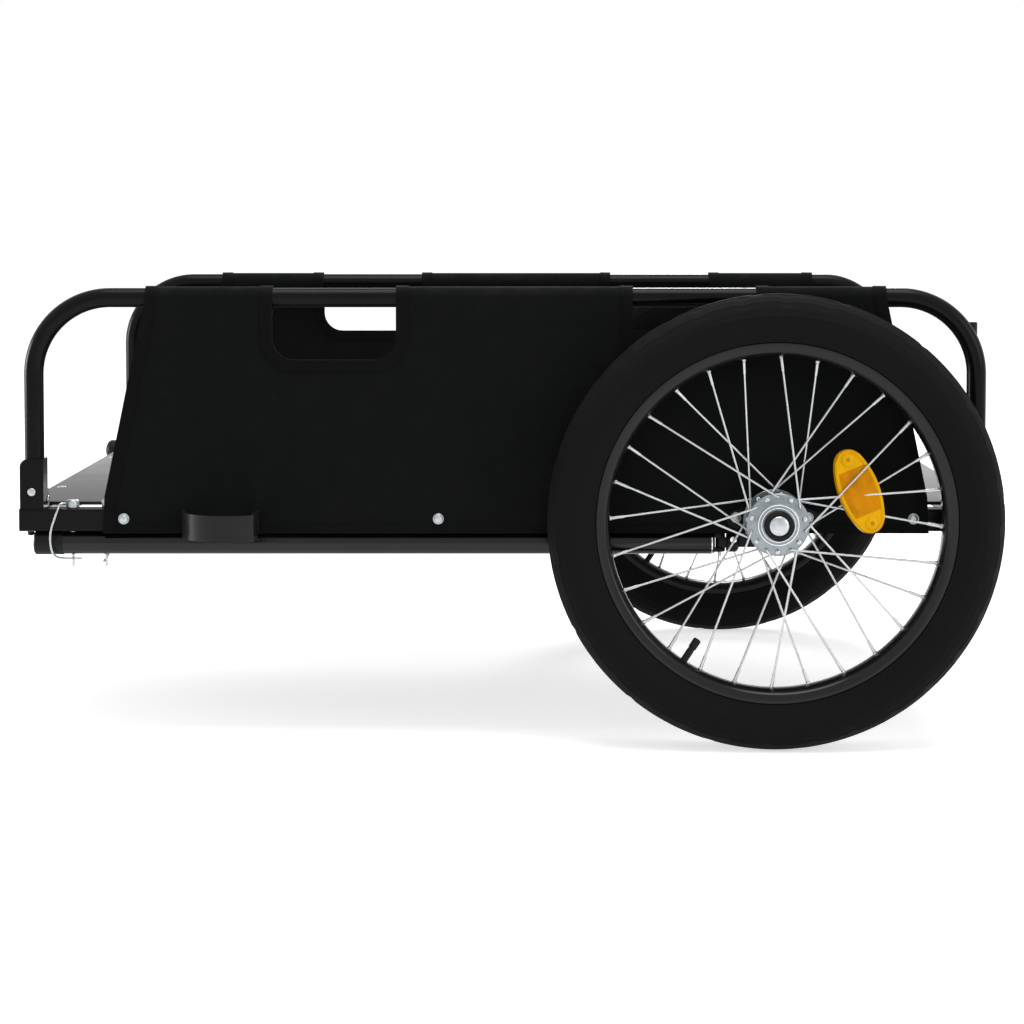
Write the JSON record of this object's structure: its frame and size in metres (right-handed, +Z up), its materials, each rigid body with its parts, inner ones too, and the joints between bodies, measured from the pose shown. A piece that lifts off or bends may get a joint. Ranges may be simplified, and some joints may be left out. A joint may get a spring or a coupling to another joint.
{
  "type": "bicycle cargo trailer",
  "caption": "Flat-bed bicycle cargo trailer with fold-down railed fabric sides, spoked quick-release wheels and a tow bar stowed under one side.",
  "frame": {"origin": "on the ground, under the middle of the base frame", "axes": "+Z up, +X to the rear, +Y to the trailer's right; it travels towards -X"},
  "size_m": [0.8828, 0.7452, 0.4047],
  "materials": {
    "frame_paint": "satin black powder coat",
    "floor_board": "fine matt grain",
    "fabric": "coated woven polyester",
    "zinc": "zinc plated",
    "bright_steel": "bright",
    "spoke_steel": "drawn wire",
    "bearing_steel": "ground, with black seals",
    "tyre": "moulded, matt",
    "inner_tube": "matt",
    "rim": "gloss black",
    "black_plastic": "moulded, fine grain",
    "amber_plastic": "clear amber, prismatic"
  },
  "bodies": {
    "base_frame": {"axle_plate_left": "frame_paint", "axle_plate_right": "frame_paint", "corner_bracket_front_left": "frame_paint", "corner_bracket_front_right": "frame_paint", "corner_bracket_rear_left": "frame_paint", "corner_bracket_rear_right": "frame_paint", "fabric_skirt_left": "fabric", "fabric_skirt_right": "fabric", "floor_board": "floor_board", "front_corner_lens": "black_plastic", "front_cross_tube": "frame_paint", "hinge_pin_front_left": "zinc", "hinge_pin_front_right": "zinc", "hinge_pin_rear_left": "zinc", "hinge_pin_rear_right": "zinc", "hitch_fork": "bright_steel", "hitch_pin": "zinc", "lock_pin": "zinc", "middle_cross_tube_front": "frame_paint", "middle_cross_tube_rear": "frame_paint", "rear_cross_tube": "frame_paint", "side_guard_hoop": "frame_paint", "side_tube_left": "frame_paint", "side_tube_right": "frame_paint", "tow_bar": "frame_paint", "tow_bar_cap": "black_plastic"},
    "side_frame_left": {"side_rail_left": "frame_paint", "fabric_panel_left": "fabric", "flag_holder": "black_plastic"},
    "axle_left": {"axle_left": "black_plastic"},
    "release_button_left": {"release_button_left": "bright_steel"},
    "wheel_left": {"tyre_left": "tyre", "rim_left": "rim", "inner_tube_left": "inner_tube", "hub_shell_left": "bright_steel", "spokes_outer_left": "spoke_steel", "spokes_inner_left": "spoke_steel", "bearing_outer_left": "bearing_steel", "bearing_inner_left": "bearing_steel", "reflector_left": "amber_plastic"},
    "side_frame_right": {"side_rail_right": "frame_paint", "fabric_panel_right": "fabric"},
    "axle_right": {"axle_right": "black_plastic"},
    "release_button_right": {"release_button_right": "bright_steel"},
    "wheel_right": {"tyre_right": "tyre", "rim_right": "rim", "inner_tube_right": "inner_tube", "hub_shell_right": "bright_steel", "spokes_outer_right": "spoke_steel", "spokes_inner_right": "spoke_steel", "bearing_outer_right": "bearing_steel", "bearing_inner_right": "bearing_steel", "reflector_right": "amber_plastic"},
    "tow_pin": {"tow_pin": "zinc"},
    "tow_pin_latch": {"tow_pin_latch": "zinc"},
    "lock_pin_latch": {"lock_pin_latch": "zinc"},
    "hitch_coupler": {"hitch_coupler": "black_plastic", "coupler_bolt": "bright_steel"}
  },
  "joints": [
    {"name": "side_fold_left", "type": "hinge", "parent": "base_frame", "child": "side_frame_left", "pos_m": [0, -0.2907, 0.2145], "axis": [-1, 0, 0], "range_deg": [0, 80]},
    {"name": "axle_slide_left", "type": "slide", "parent": "base_frame", "child": "axle_left", "axis": [0, -1, 0], "range_m": [0, 0.05]},
    {"name": "wheel_spin_left", "type": "hinge", "parent": "axle_left", "child": "wheel_left", "pos_m": [0.237, -0.34, 0.2], "axis": [0, 1, 0], "continuous": true},
    {"name": "button_press_left", "type": "slide", "parent": "axle_left", "child": "release_button_left", "axis": [0, 1, 0], "range_m": [0, 0.003], "stiffness_N_per_m": 600},
    {"name": "side_fold_right", "type": "hinge", "parent": "base_frame", "child": "side_frame_right", "pos_m": [0, 0.2907, 0.2145], "axis": [1, 0, 0], "range_deg": [0, 80]},
    {"name": "axle_slide_right", "type": "slide", "parent": "base_frame", "child": "axle_right", "axis": [0, 1, 0], "range_m": [0, 0.05]},
    {"name": "wheel_spin_right", "type": "hinge", "parent": "axle_right", "child": "wheel_right", "pos_m": [0.237, 0.34, 0.2], "axis": [0, 1, 0], "continuous": true},
    {"name": "button_press_right", "type": "slide", "parent": "axle_right", "child": "release_button_right", "axis": [0, -1, 0], "range_m": [0, 0.003], "stiffness_N_per_m": 600},
    {"name": "tow_pin_lift", "type": "slide", "parent": "base_frame", "child": "tow_pin", "axis": [0, 0, 1], "range_m": [0, 0.048]},
    {"name": "tow_pin_latch_swing", "type": "hinge", "parent": "tow_pin", "child": "tow_pin_latch", "pos_m": [-0.384, -0.3, 0.2123], "axis": [-1, 0, 0], "range_deg": [0, 105]},
    {"name": "lock_pin_latch_swing", "type": "hinge", "parent": "base_frame", "child": "lock_pin_latch", "pos_m": [-0.3546, -0.3, 0.2123], "axis": [1, 0, 0], "range_deg": [0, 20]},
    {"name": "coupler_swivel", "type": "hinge", "parent": "base_frame", "child": "hitch_coupler", "pos_m": [0.1905, -0.3, 0.1773], "axis": [0, 0, 1], "range_deg": [-10, 45]}
  ],
  "couplings": [
    {"joint": "tow_pin_latch_swing", "follows": "tow_pin_lift", "rad_per_m": 36.36}
  ]
}
